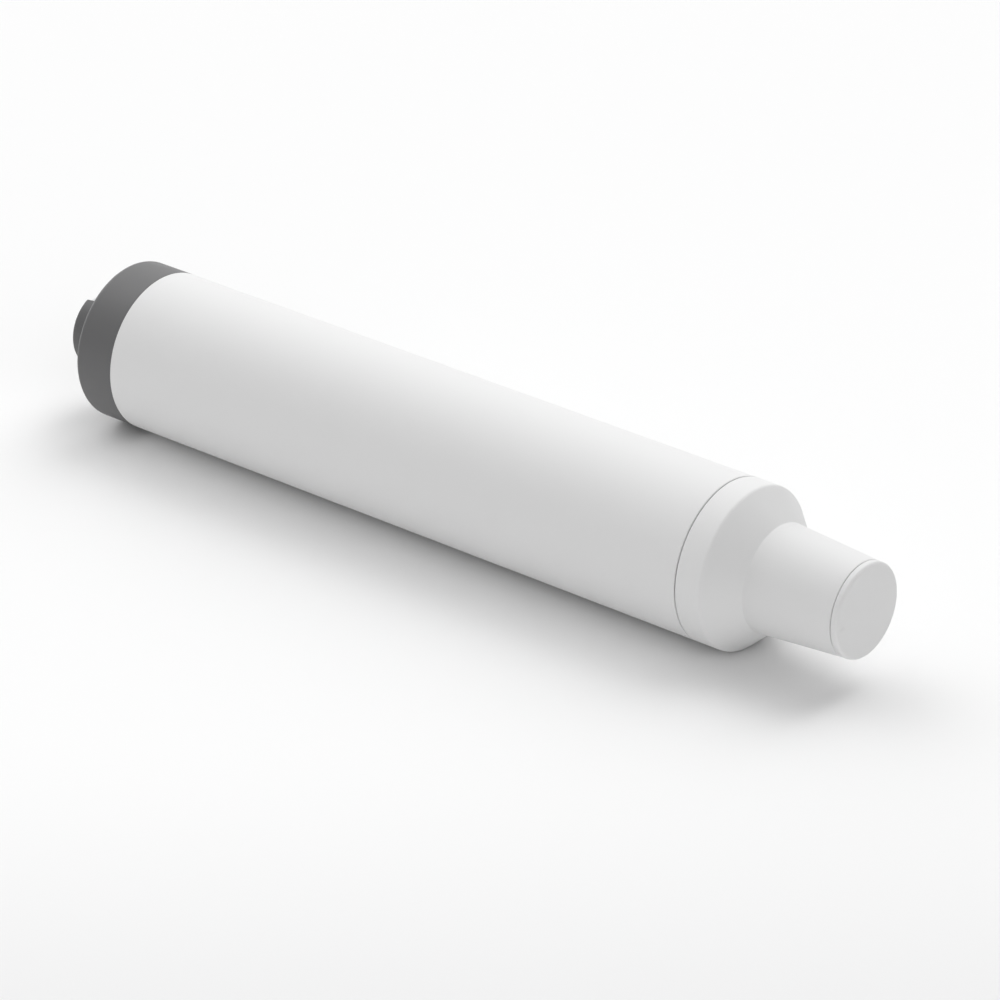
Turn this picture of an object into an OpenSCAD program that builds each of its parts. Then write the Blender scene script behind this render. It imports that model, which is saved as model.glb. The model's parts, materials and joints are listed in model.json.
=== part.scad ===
// Inline water filter for a caravan or camper: a white tube of granular carbon with a grey
// screw cap and a push-fit port at the inlet, and a welded head with a tapered neck, a
// second push-fit port and a pull-off dust cap at the outlet.
//
// The filter lies on its side. Its axis runs along X, with the inlet at -X and the outlet
// at +X. Every "station" below is a distance along the axis from the joint between the
// grey cap and the white tube, positive towards the outlet.

/* [Tube] */
// Outside diameter of the tube, the cap and the shoulder band
tube_d = 42; // [42:0.5:46]
// Wall thickness of the tube
tube_wall = 2.5; // [2.3:0.1:2.7]
// Length of the white tube
tube_len = 184; // [170:1:260]
// Width of the fine groove where the head meets the tube
seam_gap = 0.35; // [0.2:0.05:0.5]

/* [Inlet cap] */
// Length of the grey band
cap_len = 12.15; // [10:0.05:16]
// Rounding of the cap's outer edge
cap_round = 0.7; // [0.5:0.1:2]
// Diameter of the inlet boss
boss_d = 20.9; // [20.5:0.1:24]
// How far the boss stands out from the cap
boss_len = 11.2; // [11:0.1:16]
// Angle of each finger notch in the boss's mouth
notch_angle = 49; // [30:1:60]
// Depth of the finger notches
notch_depth = 3; // [1:0.5:4]
// Depth of the screwed plug inside the tube
plug_len = 16; // [15:0.5:20]
// Pitch of the cap's thread
thread_pitch = 2; // [1.5:0.1:2]

/* [Outlet head] */
// Length of the straight band between the seam and the shoulder
band_len = 7.15; // [6:0.05:12]
// Length of the shoulder cone along the axis
cone_len = 7.7; // [6.5:0.1:10]
// Rounding of the shoulder's edge
shoulder_round = 1.4; // [0.6:0.1:1.8]
// Diameter of the neck where it leaves the shoulder
neck_base_d = 27.9; // [26:0.1:30]
// Diameter of the neck at its tip
neck_tip_d = 24.5; // [23:0.1:26]
// Length of the tapered neck
neck_len = 24.5; // [24:0.5:30]

/* [Push-fit ports] */
// Outside diameter of the pipe that the ports take
pipe_d = 12; // [12:12]
// How far the inlet collet stands out of its boss
collet_proud = 1.2; // [1.1:0.1:1.3]

/* [Filter bed] */
// Station of the pressure plate's inlet face
plate_at = 24; // [20:1:26]
// Thickness of the foam pad
foam_len = 8; // [5:0.5:10]
// Thickness of the felt sediment pad
felt_len = 10; // [6:0.5:14]
// Mean diameter of the bed spring
spring_d = 26; // [25:0.5:26.5]
// Number of free turns in the bed spring
spring_turns = 5; // [3:1:6]

/* [Dust cap] */
// Thickness of the dust cap's disc
dust_len = 1.8; // [1.5:0.1:3]
// Length of the dust cap's stem
stem_len = 14; // [8:1:16]

/* [Hidden] */

$fn = 96;
tiny = 0.05;                               // gap between pieces that lie against each other
cut = 1;                                   // how far a cutting tool runs past a face

tube_r = tube_d / 2;
bore_r = tube_r - tube_wall;

// Stations of the outside shape
cap_end = -cap_len;
boss_end = cap_end - boss_len;
band_at = tube_len + seam_gap;
shoulder_at = band_at + band_len;
neck_at = shoulder_at + cone_len;
neck_end = neck_at + neck_len;
dust_gap = 0.3;
dust_at = neck_end + dust_gap;
dust_end = dust_at + dust_len;
middle = (boss_end - collet_proud + dust_end) / 2;

// Screwed plug of the inlet cap
socket_len = 10.5;                         // length of the tube's threaded mouth
socket_r = bore_r + 0.7;
crest_r = socket_r - 0.3;
root_r = crest_r - 1;
plug_r = bore_r - 0.3;
chamber_r = bore_r - 3.5;
chamber_at = 0.5;
thread_at = 1.4;
thread_rings = 4;

// Seals
cap_seal_at = 12.9;
cap_seal_r = bore_r - 1;
cap_seal_wire = 0.85;
head_seal_wire = 0.8;
head_seal_r = bore_r - 0.85;
spigot_len = 12;
spigot_r = bore_r - tiny;
head_seal_at = band_at - 5.5;

// Inside of a push-fit port, as depths from its mouth
cavity_r = 8.4;
cavity_len = 13.1;
pipe_stop = 20;
pipe_bore_r = pipe_d / 2 + 0.1;
passage_r = 4.8;
collet_r = 7.8;
collet_bore_r = pipe_d / 2 + 0.2;
collet_len = 8;
collet_lip_r = 8.1;
grab_at = 9.3;
ring_r = 8.2;
spacer_at = 10;
port_seal_at = 12.05;
port_seal_r = 7.25;
port_seal_wire = 0.93;

// Stations of the filter bed, from the inlet side
plate_len = 2.5;
mesh_len = 0.4;
mesh_at = plate_at + plate_len + tiny;
foam_at = mesh_at + mesh_len + tiny;
carbon_at = foam_at + foam_len + tiny;
spigot_at = band_at - spigot_len;
support_foot = 3;
support_at = spigot_at - tiny - support_foot - plate_len;
outlet_mesh_at = support_at - tiny - mesh_len;
felt_at = outlet_mesh_at - tiny - felt_len;
carbon_end = felt_at - tiny;
spring_wire = 0.7;

white = [0.93, 0.93, 0.92];
grey = [0.43, 0.43, 0.44];
black = [0.07, 0.07, 0.07];
steel = [0.72, 0.73, 0.74];

// Points of an arc from angle a0 to angle a1, in steps of a fillet's facets
function arc(centre, r, a0, a1, steps = 8) =
    [for (i = [0:steps]) let (a = a0 + (a1 - a0) * i / steps) centre + r * [cos(a), sin(a)]];

// Turns a [radius, station] drawing into a solid lying along X
module along_axis(station = 0) {
    translate([station - middle, 0, tube_r]) rotate([0, 90, 0]) children();
}

// A solid of revolution drawn in [radius, station]
module turned(points) {
    along_axis() rotate_extrude() polygon(points);
}

// A straight hole or bar between two stations
module bar(r, from, to) {
    along_axis(from) cylinder(r = r, h = to - from);
}

// A flat washer or a disc, when its hole is 0
module washer(outer, inner, from, to) {
    difference() {
        bar(outer, from, to);
        if (inner > 0) bar(inner, from - cut, to + cut);
    }
}

// An O-ring
module oring(centre_r, wire_r, station) {
    along_axis(station) rotate_extrude() translate([centre_r, 0]) circle(r = wire_r, $fn = 32);
}

// A ring of equal holes through a plate
module hole_ring(count, ring, r, from, to) {
    for (i = [0:count - 1])
        along_axis(from - cut) rotate(i * 360 / count) translate([ring, 0, 0])
            cylinder(r = r, h = to - from + 2 * cut, $fn = 24);
}

// Puts a port piece, drawn as depth from the mouth, at the inlet or at the outlet
module at_inlet_port() {
    translate([boss_end - middle, 0, tube_r]) rotate([0, 90, 0]) children();
}

module at_outlet_port() {
    translate([neck_end - middle, 0, tube_r]) rotate([0, -90, 0]) children();
}

// Stepped hole of a port: seal cavity, pipe socket with its stop, and the passage behind
module port_hole(passage_end) {
    translate([0, 0, -cut]) cylinder(r = cavity_r, h = cavity_len + cut);
    translate([0, 0, cavity_len - cut]) cylinder(r = pipe_bore_r, h = pipe_stop - cavity_len + cut);
    translate([0, 0, pipe_stop - cut]) cylinder(r = passage_r, h = passage_end - pipe_stop + cut);
}

// Release collet with sprung fingers and a barbed inner end
module port_collet(proud) {
    slot_w = 1.2;
    slot_at = 2.6;
    difference() {
        rotate_extrude() polygon([
            [collet_bore_r, -proud + 0.4], [collet_bore_r + 0.4, -proud],
            [collet_lip_r - 0.3, -proud], [collet_lip_r, -proud + 0.3],
            [collet_lip_r, -proud + 1.2], [collet_r, -proud + 1.5],
            [collet_r, collet_len - 2], [collet_lip_r, collet_len - 1.6],
            [collet_lip_r, collet_len - 0.8], [collet_r - 0.4, collet_len],
            [collet_bore_r, collet_len]]);
        for (i = [0:2]) rotate(i * 60) translate([-tube_r, -slot_w / 2, slot_at])
            cube([tube_d, slot_w, collet_len]);
    }
}

// Toothed steel washer that grips the pipe
module port_grab_ring() {
    teeth = 12;
    slit_w = 0.8;
    difference() {
        rotate_extrude() polygon([
            [ring_r, grab_at], [ring_r, grab_at + 0.3], [7.4, grab_at + 0.3],
            [collet_bore_r, grab_at + 0.65], [collet_bore_r, grab_at + 0.4], [7.3, grab_at]]);
        for (i = [0:teeth - 1]) rotate(i * 360 / teeth)
            translate([collet_bore_r - cut, -slit_w / 2, grab_at - cut])
                cube([7.4 - collet_bore_r + cut, slit_w, 3 * cut]);
    }
}

module port_spacer() {
    difference() {
        translate([0, 0, spacer_at]) cylinder(r = ring_r, h = 1);
        translate([0, 0, spacer_at - cut]) cylinder(r = pipe_bore_r + 0.2, h = 1 + 2 * cut);
    }
}

module port_oring() {
    translate([0, 0, port_seal_at]) rotate_extrude() translate([port_seal_r, 0])
        circle(r = port_seal_wire, $fn = 32);
}

module housing_tube() color(white) {
    end_round = 0.3;
    difference() {
        turned(concat(
            [[0, tiny]],
            [[tube_r, tiny]],
            arc([tube_r - end_round, tube_len - end_round], end_round, 0, 90, 4),
            [[0, tube_len]]));
        bar(bore_r, -cut, tube_len + cut);
        bar(socket_r, -cut, socket_len);
    }
}

// Welded head: spigot, band, shoulder cone and tapered neck
module outlet_head() color(white) {
    cone_drop = tube_r - neck_base_d / 2;
    cone_a = atan2(cone_len, cone_drop);       // slope of the cone against a flat face
    corner = shoulder_round * tan((90 - cone_a) / 2);
    neck_tip_r = neck_tip_d / 2;
    edge = 0.3;
    groove = head_seal_wire + 0.25;
    throat = neck_end - pipe_stop;
    difference() {
        turned(concat(
            [[0, spigot_at], [spigot_r - 0.6, spigot_at], [spigot_r, spigot_at + 0.6]],
            [[spigot_r, head_seal_at - groove], [head_seal_r - head_seal_wire - tiny,
                head_seal_at - groove]],
            [[head_seal_r - head_seal_wire - tiny, head_seal_at + groove],
                [spigot_r, head_seal_at + groove], [spigot_r, band_at]],
            arc([tube_r - edge, band_at + edge], edge, -90, 0, 4),
            arc([tube_r - shoulder_round, shoulder_at - corner], shoulder_round, 0, 90 - cone_a, 6),
            [[neck_base_d / 2 + 0.5, neck_at - 0.5 * cone_len / cone_drop],
                [neck_base_d / 2 + 0.1, neck_at + 0.05], [neck_base_d / 2 - 0.05, neck_at + 0.7]],
            arc([neck_tip_r - edge, neck_end - edge], edge, 0, 90, 4),
            [[0, neck_end]]));
        turned([[0, spigot_at - cut], [chamber_r, spigot_at - cut], [chamber_r, shoulder_at - 3],
            [neck_base_d / 2 - 3, neck_at - 2], [passage_r, throat - 3], [0, throat - 3]]);
        at_outlet_port() port_hole(pipe_stop + 4);
    }
}

module head_oring() color(black) oring(head_seal_r, head_seal_wire, head_seal_at);

// Sector cut from the boss's mouth, which bares the collet's lip
module finger_notch(side) {
    reach = boss_d;
    half = notch_angle / 2;
    along_axis(boss_end - cut) rotate(side + 180) linear_extrude(notch_depth + cut)
        polygon([[0, 0], [reach * cos(half), -reach * sin(half)], [reach * cos(half), reach * sin(half)]]);
}

// Grey cap with its boss, screwed plug and seal groove
module inlet_cap() color(grey) {
    boss_r = boss_d / 2;
    boss_edge = 0.4;
    groove = cap_seal_wire + 0.25;
    groove_r = cap_seal_r - cap_seal_wire - tiny;
    difference() {
        turned(concat(
            [[0, boss_end]],
            arc([boss_r - boss_edge, boss_end + boss_edge], boss_edge, -90, 0, 6),
            [[boss_r, cap_end - 0.5], [boss_r + 0.5, cap_end]],
            arc([tube_r - cap_round, cap_end + cap_round], cap_round, -90, 0, 8),
            [[tube_r, 0], [root_r, 0]],
            [for (i = [0:thread_rings - 1]) for (p = [[0, 0], [1, 0.3], [1, 0.5], [0, 0.8]])
                [root_r + p[0], thread_at + (i + p[1]) * thread_pitch]],
            [[root_r, socket_len - 0.4], [plug_r, socket_len]],
            [[plug_r, cap_seal_at - groove], [groove_r, cap_seal_at - groove],
                [groove_r, cap_seal_at + groove], [plug_r, cap_seal_at + groove]],
            [[plug_r, plug_len - 0.8], [plug_r - 0.8, plug_len], [0, plug_len]]));
        bar(chamber_r, chamber_at, plug_len + cut);
        at_inlet_port() port_hole(chamber_at - boss_end + cut);
        for (side = [0, 180]) finger_notch(side);
    }
}

module cap_oring() color(black) oring(cap_seal_r, cap_seal_wire, cap_seal_at);

// Hat-shaped strainer over the inlet passage
module inlet_strainer() color(steel) {
    turned([[4.9, chamber_at + tiny], [8.6, chamber_at + tiny], [8.6, chamber_at + 0.6],
        [5.5, chamber_at + 0.6], [4.9, chamber_at + 7], [0, chamber_at + 7],
        [0, chamber_at + 6.5], [4.4, chamber_at + 6.5]]);
}

module inlet_port_oring() color(black) at_inlet_port() port_oring();
module inlet_port_spacer() color(white) at_inlet_port() port_spacer();
module inlet_grab_ring() color(steel) at_inlet_port() port_grab_ring();
module inlet_collet() color(white) at_inlet_port() port_collet(collet_proud);

// Spring between the cap and the pressure plate, with a closed turn at each end
module bed_spring() color(steel) {
    sides = 8;
    per_turn = 16;
    start = chamber_at + tiny + spring_wire;
    stop = plate_at - tiny - spring_wire;
    steps = (spring_turns + 2) * per_turn;
    coil = 2 * spring_wire + 0.1;
    // rise in the closed first turn, the free turns and the closed last turn
    rise = function (turn) turn < 1 ? start + coil * turn
        : turn > spring_turns + 1 ? stop - coil * (spring_turns + 2 - turn)
        : start + coil + (stop - start - 2 * coil) * (turn - 1) / spring_turns;
    rings = [for (i = [0:steps]) let (turn = i / per_turn, a = 360 * turn)
        for (k = [0:sides - 1]) let (b = 360 * (k + 0.5) / sides,
            r = spring_d / 2 + spring_wire * cos(b))
            [r * cos(a), r * sin(a), rise(turn) + spring_wire * sin(b)]];
    walls = [for (i = [0:steps - 1]) for (k = [0:sides - 1]) let (n = (k + 1) % sides)
        [i * sides + k, (i + 1) * sides + k, (i + 1) * sides + n, i * sides + n]];
    first = [for (k = [0:sides - 1]) k];
    last = [for (k = [sides - 1:-1:0]) steps * sides + k];
    along_axis() polyhedron(points = rings, faces = concat(walls, [first, last]), convexity = 8);
}

// Perforations shared by the two bed plates
module plate_holes(from, to) {
    hole_r = 1.3;
    hole_ring(6, 4.6, hole_r, from, to);
    hole_ring(12, 8.8, hole_r, from, to);
    hole_ring(18, 15.2, hole_r, from, to);
}

// Sprung plate that keeps the bed packed, with a ring that centres the spring
module pressure_plate() color(white) {
    ring_outer = spring_d / 2 - spring_wire - 0.3;
    difference() {
        union() {
            bar(plug_r, plate_at, plate_at + plate_len);
            washer(ring_outer, ring_outer - 1.4, plate_at - 3, plate_at + cut);
            bar(2, plate_at - 2, plate_at + cut);
        }
        plate_holes(plate_at, plate_at + plate_len);
    }
}

module pressure_mesh() color(steel) bar(plug_r, mesh_at, mesh_at + mesh_len);
module foam_pad() color([0.24, 0.25, 0.27]) bar(plug_r, foam_at, foam_at + foam_len);
module carbon_bed() color([0.1, 0.1, 0.1]) bar(spigot_r, carbon_at, carbon_end);
module sediment_pad() color([0.9, 0.88, 0.82]) bar(spigot_r, felt_at, felt_at + felt_len);
module outlet_mesh() color(steel) bar(plug_r, outlet_mesh_at, outlet_mesh_at + mesh_len);

// Fixed plate that carries the bed, standing on a rim and a cross of ribs
module support_plate() color(white) {
    foot_at = support_at + plate_len;
    rib_w = 1.4;
    rib_l = 2 * chamber_r;
    difference() {
        bar(spigot_r, support_at, foot_at);
        plate_holes(support_at, foot_at);
    }
    washer(spigot_r, chamber_r, foot_at, foot_at + support_foot);
    for (a = [15, 105])
        along_axis(foot_at) rotate(a) translate([-rib_l / 2 - 0.5, -rib_w / 2, 0])
            cube([rib_l + 1, rib_w, support_foot]);
}

module outlet_port_oring() color(black) at_outlet_port() port_oring();
module outlet_port_spacer() color(white) at_outlet_port() port_spacer();
module outlet_grab_ring() color(steel) at_outlet_port() port_grab_ring();
module outlet_collet() color(white) at_outlet_port() port_collet(0);

// Pull-off disc with a hollow stem that plugs the outlet port
module dust_cap() color(white) {
    disc_r = neck_tip_d / 2;
    edge = 0.6;
    stem_r = pipe_d / 2 - 0.1;
    stem_end = neck_end - stem_len;
    difference() {
        turned(concat(
            [[0, stem_end], [stem_r - 0.5, stem_end], [stem_r, stem_end + 1.2],
                [stem_r, dust_at]],
            [[disc_r - 0.2, dust_at], [disc_r, dust_at + 0.2]],
            arc([disc_r - edge, dust_end - edge], edge, 0, 90, 6),
            [[0, dust_end]]));
        bar(stem_r - 1.5, stem_end - cut, neck_end);
    }
}

housing_tube();
outlet_head();
head_oring();
inlet_cap();
cap_oring();
inlet_strainer();
inlet_port_oring();
inlet_port_spacer();
inlet_grab_ring();
inlet_collet();
bed_spring();
pressure_plate();
pressure_mesh();
foam_pad();
carbon_bed();
sediment_pad();
outlet_mesh();
support_plate();
outlet_port_oring();
outlet_port_spacer();
outlet_grab_ring();
outlet_collet();
dust_cap();
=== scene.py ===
import json
import math

import bpy
import numpy as np
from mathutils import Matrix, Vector


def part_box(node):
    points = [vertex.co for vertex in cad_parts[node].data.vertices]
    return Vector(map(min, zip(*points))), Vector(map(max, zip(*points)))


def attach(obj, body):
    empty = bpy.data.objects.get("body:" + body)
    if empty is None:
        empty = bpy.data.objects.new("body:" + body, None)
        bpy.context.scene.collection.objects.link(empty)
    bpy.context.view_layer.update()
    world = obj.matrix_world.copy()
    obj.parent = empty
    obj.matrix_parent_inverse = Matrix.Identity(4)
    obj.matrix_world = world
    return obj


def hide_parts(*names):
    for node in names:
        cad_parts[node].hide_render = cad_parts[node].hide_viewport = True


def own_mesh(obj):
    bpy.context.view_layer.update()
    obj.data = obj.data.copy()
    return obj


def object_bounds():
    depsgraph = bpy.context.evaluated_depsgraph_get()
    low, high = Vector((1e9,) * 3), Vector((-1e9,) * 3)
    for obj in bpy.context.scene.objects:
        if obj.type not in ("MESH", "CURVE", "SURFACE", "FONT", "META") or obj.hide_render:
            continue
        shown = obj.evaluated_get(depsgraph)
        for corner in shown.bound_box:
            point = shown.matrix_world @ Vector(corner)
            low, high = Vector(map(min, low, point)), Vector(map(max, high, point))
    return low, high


mm = 0.001
fullTurn = 2 * math.pi
shellTurns = 224    # points round each outer shell

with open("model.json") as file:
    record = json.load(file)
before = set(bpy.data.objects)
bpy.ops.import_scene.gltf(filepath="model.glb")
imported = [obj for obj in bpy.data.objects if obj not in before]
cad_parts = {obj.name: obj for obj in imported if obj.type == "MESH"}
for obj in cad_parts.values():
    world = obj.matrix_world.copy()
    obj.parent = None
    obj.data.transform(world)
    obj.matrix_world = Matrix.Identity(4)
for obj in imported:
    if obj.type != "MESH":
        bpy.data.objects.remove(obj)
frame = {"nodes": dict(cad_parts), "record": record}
cadLow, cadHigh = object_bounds()

bodyOf = {node: body for body, nodes in frame["record"]["behaviour"]["bodies"].items() for node in nodes}

tubeLow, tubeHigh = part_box("housing_tube")
capLow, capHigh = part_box("inlet_cap")
headLow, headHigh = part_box("outlet_head")
dustLow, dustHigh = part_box("dust_cap")
axisHeight = (tubeLow.z + tubeHigh.z) / 2
tubeRadius = (tubeHigh.z - tubeLow.z) / 2


# camera, first, because the framing decides what matters
cameraLook = {
    "azimuth": 39.85,      # degrees round from the front, towards the outlet
    "elevation": 26.66,    # degrees above the floor
    "distance": 1.4187,    # metres from the point looked at
    "lens": 205.86,        # millimetres on a 36 mm sensor
    "aimAlong": 0.5475,    # share of the length, from the inlet end
    "aimUp": 0.336,        # share of the height
    "shift": (0.0006, -0.0004),
}


def makeCamera(look):
    aim = Vector((cadLow.x + look["aimAlong"] * (cadHigh.x - cadLow.x), (cadLow.y + cadHigh.y) / 2,
                  cadLow.z + look["aimUp"] * (cadHigh.z - cadLow.z)))
    around, up = math.radians(look["azimuth"]), math.radians(look["elevation"])
    back = Vector((math.sin(around) * math.cos(up), -math.cos(around) * math.cos(up), math.sin(up)))
    data = bpy.data.cameras.new("camera")
    data.lens = look["lens"]
    data.sensor_width = 36
    data.shift_x, data.shift_y = look["shift"]
    data.clip_start, data.clip_end = 0.05, 50
    camera = bpy.data.objects.new("camera", data)
    camera.rotation_mode = "QUATERNION"
    camera.location = aim + back * look["distance"]
    camera.rotation_quaternion = (-back).to_track_quat("-Z", "Y")
    bpy.context.scene.collection.objects.link(camera)
    bpy.context.scene.camera = camera


makeCamera(cameraLook)
bpy.context.scene.view_settings.view_transform = "Standard"
print("camera: azimuth", cameraLook["azimuth"], "elevation", cameraLook["elevation"])


# Outline with rounded corners. Each corner is (station, radius, rounding) in metres. An arc tangent to
# both sides takes the corner's place: its centre lies on the bisector, rounding / sin(half angle) away.
# A short straight run stays at each end of the arc, so the faces beside it shade flat.
def roundedOutline(corners, closed=True, steps=6, run=0.12 * mm):
    points, edge = [], []
    count = len(corners)
    for i, (station, radius, rounding) in enumerate(corners):
        corner = np.array([station, radius])
        if rounding <= 0 or (not closed and i in (0, count - 1)):
            points.append([corner])
            edge.append([0.0])
            continue
        before = np.array(corners[i - 1][:2]) - corner
        after = np.array(corners[(i + 1) % count][:2]) - corner
        room = 0.48 * min(np.linalg.norm(before), np.linalg.norm(after))
        before, after = before / np.linalg.norm(before), after / np.linalg.norm(after)
        half = math.acos(np.clip(before @ after, -1, 1)) / 2
        reach = min(rounding / math.tan(half), room)
        rounding = reach * math.tan(half)
        centre = corner + (before + after) / np.linalg.norm(before + after) * rounding / math.sin(half)
        first, last = corner + before * reach - centre, corner + after * reach - centre
        start = math.atan2(first[1], first[0])
        sweep = (math.atan2(last[1], last[0]) - start + math.pi) % fullTurn - math.pi
        angle = start + sweep * np.linspace(0, 1, steps + 1)
        arc = centre + rounding * np.stack([np.cos(angle), np.sin(angle)], 1)
        lead = min(run, room - reach)
        points.append(np.vstack([corner + before * (reach + lead), arc, corner + after * (reach + lead)]))
        edge.append(np.concatenate([[0.0], np.sin(np.linspace(0, math.pi, steps + 1)), [0.0]]))
    points, edge = np.vstack(points), np.concatenate(edge)
    keep = np.ones(len(points), bool)
    keep[1:] = np.linalg.norm(np.diff(points, axis=0), axis=1) > 1e-7
    return points[keep], edge[keep]


# The same outline with evenly spaced points added, no further apart than longest, or than fine where the
# station and radius lie in the zone (low station, high station, low radius, high radius).
def densify(points, edge, closed=True, longest=4 * mm, fine=None, zone=None):
    following = np.roll(points, -1, 0) if closed else points[1:]
    newPoints, newEdge = [], []
    for i, end in enumerate(following):
        start = points[i]
        step = longest
        if zone is not None:
            middle = (start + end) / 2
            if zone[0] <= middle[0] <= zone[1] and zone[2] <= middle[1] <= zone[3]:
                step = fine
        pieces = max(1, math.ceil(np.linalg.norm(end - start) / step - 1e-6))
        share = np.arange(pieces)[:, None] / pieces
        newPoints.append(start + (end - start) * share)
        newEdge.append(np.where(share[:, 0] == 0, edge[i], 0.0))
    if not closed:
        newPoints.append(points[-1:])
        newEdge.append(edge[-1:])
    return np.vstack(newPoints), np.concatenate(newEdge)


# Outward normals of an open outline in (station, radius): the chord between each point's neighbours,
# turned a quarter
def outlineNormals(points):
    chord = np.gradient(points, axis=0)
    normal = np.stack([-chord[:, 1], chord[:, 0]], 1)
    return normal / np.maximum(np.linalg.norm(normal, axis=1, keepdims=True), 1e-12)


# Turns the faces outwards, which the sign of the enclosed volume tells: a sixth of the sum of a . (b x c)
# over the triangles a, b, c. Points that no face uses are dropped.
def surfaceOf(points, faces, edge):
    used = np.unique(np.concatenate([block.ravel() for block in faces]))
    renumber = np.zeros(len(points), int)
    renumber[used] = np.arange(len(used))
    points, edge = points[used], edge[used]
    faces = [renumber[block] for block in faces]
    volume = 0.0
    middle = points.mean(0)
    for block in faces:
        corner = points[block] - middle
        for k in range(1, block.shape[1] - 1):
            volume += np.sum(corner[:, 0] * np.cross(corner[:, k], corner[:, k + 1]))
    if volume < 0:
        faces = [block[:, ::-1] for block in faces]
    return points, faces, edge


# One smooth mesh of several surfaces, with each point's edge share as an attribute
def meshFrom(name, surfaces):
    starts = np.cumsum([0] + [len(surface[0]) for surface in surfaces])
    faces = []
    for start, surface in zip(starts, surfaces):
        for group in surface[1]:
            faces += (group + start).tolist()
    mesh = bpy.data.meshes.new(name)
    mesh.from_pydata(np.vstack([surface[0] for surface in surfaces]).tolist(), [], faces)
    mesh.polygons.foreach_set("use_smooth", np.ones(len(mesh.polygons), bool))
    edge = np.concatenate([surface[2] for surface in surfaces]).astype(np.float32)
    mesh.attributes.new("edgeShare", "FLOAT", "POINT").data.foreach_set("value", edge)
    mesh.update()
    return mesh


# Angles evenly spaced over a full turn
def evenAngles(count):
    return np.arange(count) * fullTurn / count


# Turned surface: the outline's point (s, r) goes to (s, r sin a, axis + r cos a) at each angle a.
# reshape(angle, s, r) may move points first, which is how threads, slots and pits are cut.
def turned(points, edge, closed=True, turns=192, angles=None, reshape=None):
    angle = (evenAngles(turns) if angles is None else angles)[:, None]
    rows, columns = len(angle), len(points)
    station = np.broadcast_to(points[:, 0], (rows, columns)).copy()
    radius = np.broadcast_to(points[:, 1], (rows, columns)).copy()
    if reshape is not None:
        station, radius = reshape(angle, station, radius)
    grid = np.stack([station, radius * np.sin(angle), axisHeight + radius * np.cos(angle)], -1)
    index = np.arange(rows * columns).reshape(rows, columns)
    poleStart = not closed and points[0, 1] < 1e-9
    poleEnd = not closed and points[-1, 1] < 1e-9
    if poleStart:
        index[:, 0] = 0
    if poleEnd:
        index[:, -1] = columns - 1
    nextIndex = np.roll(index, -1, 0)
    if closed:
        index, nextIndex = np.hstack([index, index[:, :1]]), np.hstack([nextIndex, nextIndex[:, :1]])
    quads = np.stack([index[:, :-1], index[:, 1:], nextIndex[:, 1:], nextIndex[:, :-1]], -1)
    faces = []
    if poleStart:
        faces.append(quads[:, 0][:, [0, 1, 2]])
        quads = quads[:, 1:]
    if poleEnd:
        faces.append(quads[:, -1][:, [0, 1, 3]])
        quads = quads[:, :-1]
    faces.append(quads.reshape(-1, 4))
    return surfaceOf(grid.reshape(-1, 3), faces, np.tile(edge, rows))


# Round bars along many paths at once: paths is (bars, points, 3) and side a unit vector across each path.
# A ring of the bar is path + radius (side cos b + (side x tangent) sin b). Each end is one flat face.
def bars(paths, side, radius, sides, clamp=None):
    number, count = paths.shape[:2]
    tangent = np.gradient(paths, axis=1)
    tangent /= np.linalg.norm(tangent, axis=2, keepdims=True)
    side = side - tangent * np.sum(side * tangent, 2, keepdims=True)
    side /= np.linalg.norm(side, axis=2, keepdims=True)
    other = np.cross(side, tangent)
    b = evenAngles(sides)[:, None]
    ring = paths[:, :, None] + radius * (side[:, :, None] * np.cos(b) + other[:, :, None] * np.sin(b))
    if clamp is not None:
        ring[..., 0] = np.clip(ring[..., 0], *clamp)
    index = np.arange(number * count * sides).reshape(number, count, sides)
    here, ahead = index[:, :-1], index[:, 1:]
    quads = np.stack([here, np.roll(here, -1, 2), np.roll(ahead, -1, 2), ahead], -1)
    faces = [quads.reshape(-1, 4), index[:, 0, ::-1], index[:, -1]]
    return surfaceOf(ring.reshape(-1, 3), faces, np.zeros(index.size))


# Distance from each point to the nearest of a set of scattered centres, one in each cube of side size, given
# in cube sides. The centres are the cubes' corners plus a fixed random offset that depends on the cube.
def cellDistance(points, size, seed):
    offsets = np.random.default_rng(seed).random((32, 32, 32, 3))
    where = points / size
    cube = np.floor(where).astype(int)
    nearest = np.full(points.shape[:-1], 9.0)
    for step in np.ndindex(3, 3, 3):
        other = cube + np.array(step) - 1
        centre = other + offsets[other[..., 0] % 32, other[..., 1] % 32, other[..., 2] % 32]
        nearest = np.minimum(nearest, np.linalg.norm(where - centre, axis=-1))
    return nearest


def smoothStep(low, high, value):
    share = np.clip((value - low) / (high - low), 0, 1)
    return share * share * (3 - 2 * share)


# 1 between low and high, falling to 0 over a run at each end
def between(low, high, run, value):
    return smoothStep(low, low + run, value) * (1 - smoothStep(high - run, high, value))


# Angles for a turned piece with slots centred at some angles: evenly spaced, and closer at the slots' walls
def slottedAngles(centres, half, ramp, turns):
    even = evenAngles(turns)
    walls = np.array([centre + side * half for centre in centres for side in (-1, 1)])
    away = np.abs((even[:, None] - walls + math.pi) % fullTurn - math.pi).min(1)
    near = (walls[:, None] + ramp * np.linspace(-1, 1, 7)).ravel() % fullTurn
    return np.sort(np.concatenate([even[away > 1.3 * ramp], near]))


# 1 inside the slots and 0 outside them, with a ramp at the walls
def slotShare(angle, centres, half, ramp):
    away = np.abs((angle[..., None] - np.asarray(centres) + math.pi) % fullTurn - math.pi).min(-1)
    return 1 - smoothStep(half - ramp, half + ramp, away)


def addPiece(name, surfaces, material, nodes):
    mesh = meshFrom(name, surfaces)
    piece = bpy.data.objects.new(name, mesh)
    bpy.context.scene.collection.objects.link(piece)
    mesh.materials.append(material)
    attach(piece, bodyOf[nodes[0]])
    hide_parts(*nodes)
    return piece


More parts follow.
